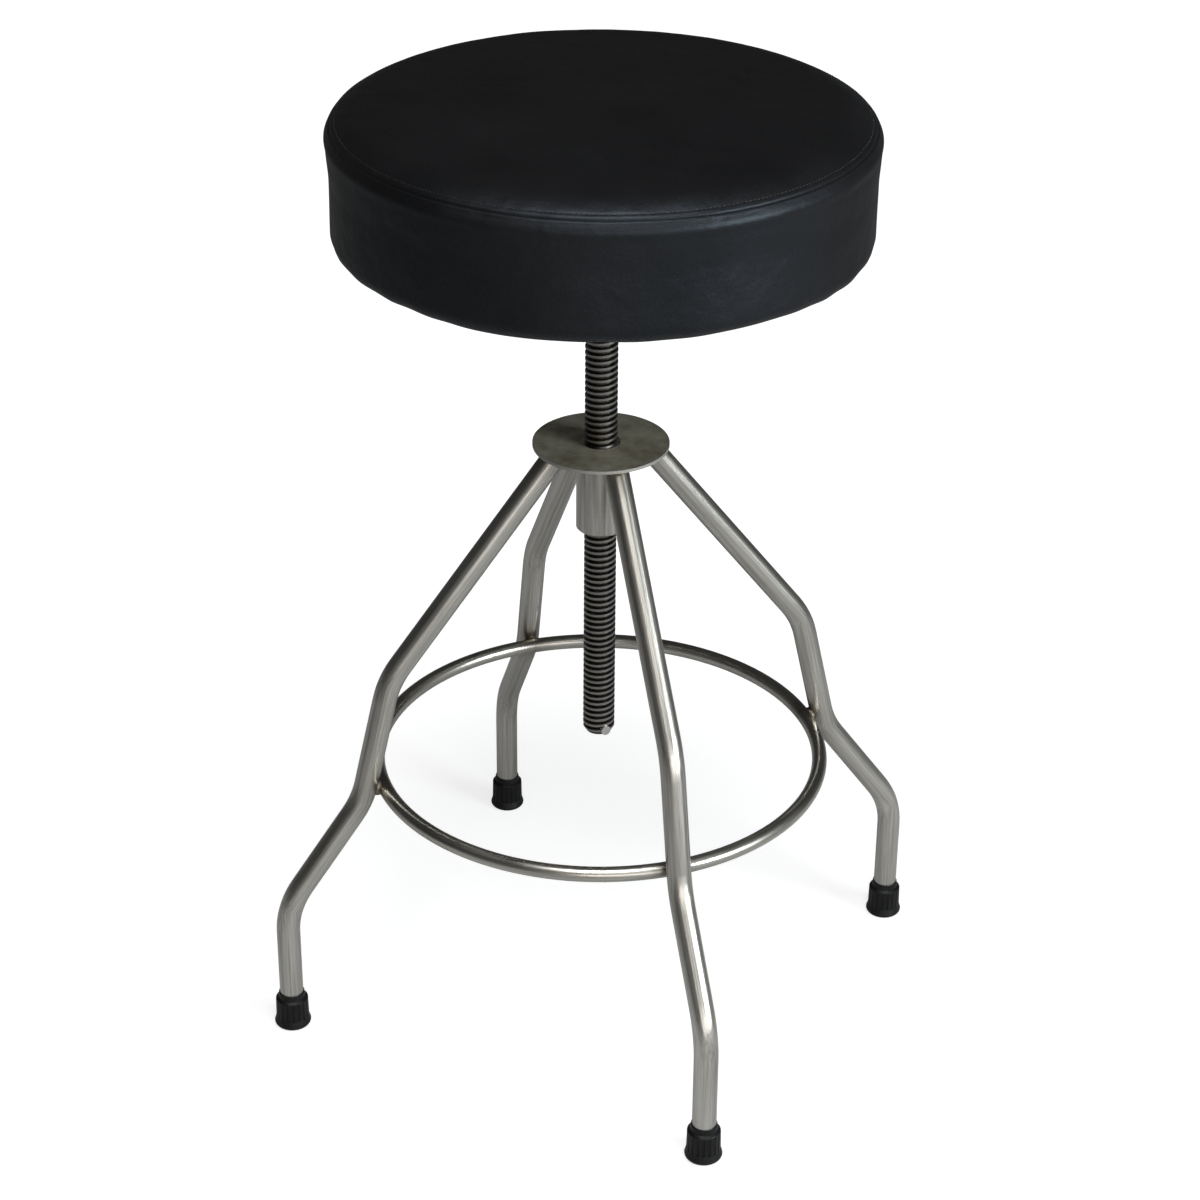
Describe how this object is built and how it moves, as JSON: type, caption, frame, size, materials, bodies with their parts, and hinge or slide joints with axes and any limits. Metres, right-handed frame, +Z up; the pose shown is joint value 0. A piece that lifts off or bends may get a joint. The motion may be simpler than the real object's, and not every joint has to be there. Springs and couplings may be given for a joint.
{
  "type": "swivel stool",
  "caption": "Round padded swivel stool on four bent tube legs with a foot ring; turning the seat raises or lowers it on a threaded screw.",
  "frame": {"origin": "on the floor, on the screw's axis, midway between the four feet", "axes": "+Z up along the screw; the feet lie on the diagonals, 45 degrees from +X and +Y; -Y is the front"},
  "size_m": [0.4064, 0.4064, 0.7658],
  "materials": {
    "leg_steel": "stainless, brushed lengthwise, satin",
    "hoop_steel": "stainless, brushed, slightly heat-tinted at the welds",
    "weld_steel": "weld bead, dull with a faint straw tint",
    "disc_steel": "plate steel, matte ground",
    "hub_steel": "turned steel, satin",
    "screw_steel": "cut thread, dark and lightly oiled",
    "pin_steel": "ground pin, satin",
    "plate_steel": "hot-rolled plate, dull",
    "zinc_steel": "zinc plated",
    "tip_rubber": "matte black rubber",
    "black_vinyl": "satin black upholstery vinyl, fine grain",
    "dust_cloth": "thin black non-woven cloth",
    "foam": "open-cell foam",
    "plywood": "plain birch plywood"
  },
  "bodies": {
    "base": {"leg_back_right": "leg_steel", "rubber_tip_back_right": "tip_rubber", "tip_washer_back_right": "zinc_steel", "leg_back_left": "leg_steel", "rubber_tip_back_left": "tip_rubber", "tip_washer_back_left": "zinc_steel", "leg_front_left": "leg_steel", "rubber_tip_front_left": "tip_rubber", "tip_washer_front_left": "zinc_steel", "leg_front_right": "leg_steel", "rubber_tip_front_right": "tip_rubber", "tip_washer_front_right": "zinc_steel", "leg_welds": "weld_steel", "foot_ring": "hoop_steel", "ring_welds": "weld_steel", "top_disc": "disc_steel", "threaded_hub": "hub_steel"},
    "lift": {"screw_top_weld": "weld_steel"},
    "seat": {"lead_screw": "screw_steel", "stop_pin": "pin_steel", "seat_plate": "plate_steel", "seat_bolts": "zinc_steel", "lock_washers": "zinc_steel", "threaded_inserts": "zinc_steel", "seat_board": "plywood", "dust_cloth": "dust_cloth", "hem_staples": "zinc_steel", "seat_foam": "foam", "seat_cover_band": "black_vinyl", "seat_cover_top": "black_vinyl"}
  },
  "joints": [
    {"name": "screw_rise", "type": "slide", "parent": "base", "child": "lift", "axis": [0, 0, 1], "range_m": [-0.1526, 0.1729]},
    {"name": "seat_turn", "type": "hinge", "parent": "lift", "child": "seat", "pos_m": [0, 0, 0.4535], "axis": [0, 0, 1], "range_deg": [-10800, 12240]}
  ],
  "couplings": [
    {"joint": "screw_rise", "follows": "seat_turn", "m_per_rad": 0.00080851}
  ]
}
